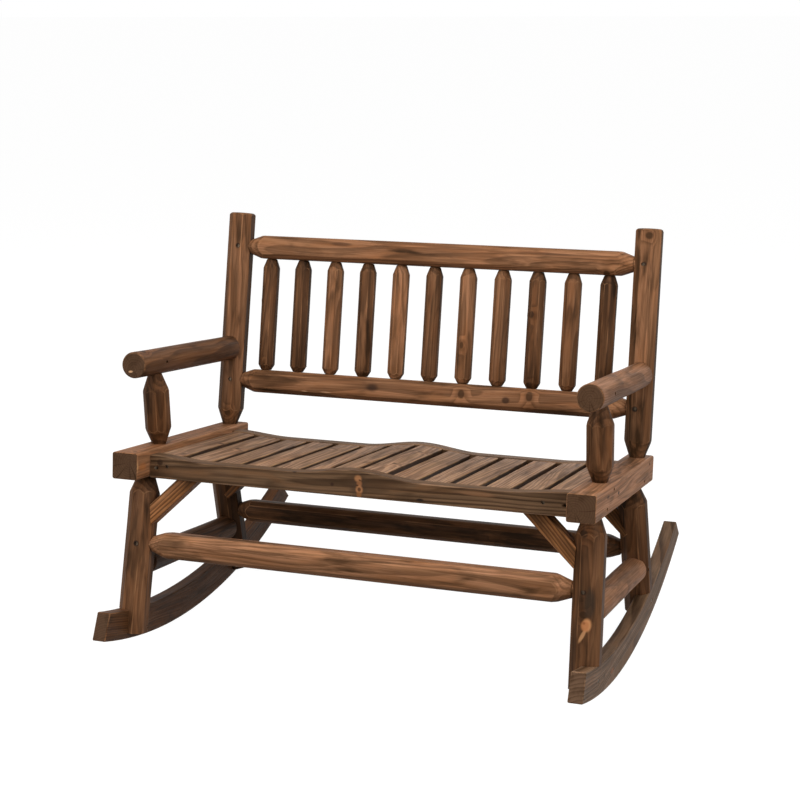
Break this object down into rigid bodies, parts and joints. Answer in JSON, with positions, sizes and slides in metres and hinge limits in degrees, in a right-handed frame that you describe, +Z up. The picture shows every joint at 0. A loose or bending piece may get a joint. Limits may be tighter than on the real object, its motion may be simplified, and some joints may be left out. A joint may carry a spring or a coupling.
{
  "type": "rocking bench",
  "caption": "Rocking bench with a log-style frame, contoured slatted seat, spindle back, round armrests, splayed legs with stretchers, and curved rockers.",
  "frame": {"origin": "on the floor, in the middle of the bench's width, under the line where both rockers touch the floor at rest", "axes": "+Z up, -Y the way a sitter faces, +X along the bench's width to the right when seen from the front; the seat leans back 8.6 degrees about X from level, as it rests"},
  "size_m": [1.1902, 1.1098, 0.9876],
  "materials": {
    "log_wood": "peeled log, scorched and brushed, satin clear coat",
    "sawn_wood": "planed, scorched and brushed, satin clear coat",
    "slat_wood": "planed slat, brushed, satin clear coat",
    "brace_wood": "sawn strip, brushed, satin clear coat",
    "cleat_wood": "sawn strip, stained",
    "zinc_steel": "zinc plated"
  },
  "bodies": {
    "root": {"left_seat_beam": "sawn_wood", "right_seat_beam": "sawn_wood", "front_seat_rail": "sawn_wood", "rear_seat_rail": "sawn_wood", "front_slat_cleat": "cleat_wood", "rear_slat_cleat": "cleat_wood", "seat_slat_01": "slat_wood", "seat_slat_02": "slat_wood", "seat_slat_03": "slat_wood", "seat_slat_04": "slat_wood", "seat_slat_05": "slat_wood", "seat_slat_06": "slat_wood", "seat_slat_07": "slat_wood", "seat_slat_08": "slat_wood", "seat_slat_09": "slat_wood", "seat_slat_10": "slat_wood", "seat_slat_11": "slat_wood", "seat_slat_12": "slat_wood", "seat_slat_13": "slat_wood", "seat_slat_14": "slat_wood", "left_back_post": "log_wood", "right_back_post": "log_wood", "upper_back_rail": "log_wood", "lower_back_rail": "log_wood", "back_spindle_01": "log_wood", "back_spindle_02": "log_wood", "back_spindle_03": "log_wood", "back_spindle_04": "log_wood", "back_spindle_05": "log_wood", "back_spindle_06": "log_wood", "back_spindle_07": "log_wood", "back_spindle_08": "log_wood", "back_spindle_09": "log_wood", "back_spindle_10": "log_wood", "back_spindle_11": "log_wood", "left_armrest": "log_wood", "right_armrest": "log_wood", "left_arm_support": "log_wood", "right_arm_support": "log_wood", "front_left_leg": "log_wood", "front_right_leg": "log_wood", "rear_left_leg": "log_wood", "rear_right_leg": "log_wood", "left_rocker": "sawn_wood", "right_rocker": "sawn_wood", "front_stretcher": "log_wood", "rear_stretcher": "log_wood", "left_side_stretcher": "log_wood", "right_side_stretcher": "log_wood", "front_left_brace": "brace_wood", "front_right_brace": "brace_wood", "rear_left_brace": "brace_wood", "rear_right_brace": "brace_wood", "tenon_pins": "zinc_steel", "rail_screws": "zinc_steel", "brace_screws": "zinc_steel", "slat_screws": "zinc_steel", "armrest_bolts": "zinc_steel", "rocker_bolts": "zinc_steel", "rocker_nails": "zinc_steel"}
  },
  "joints": []
}
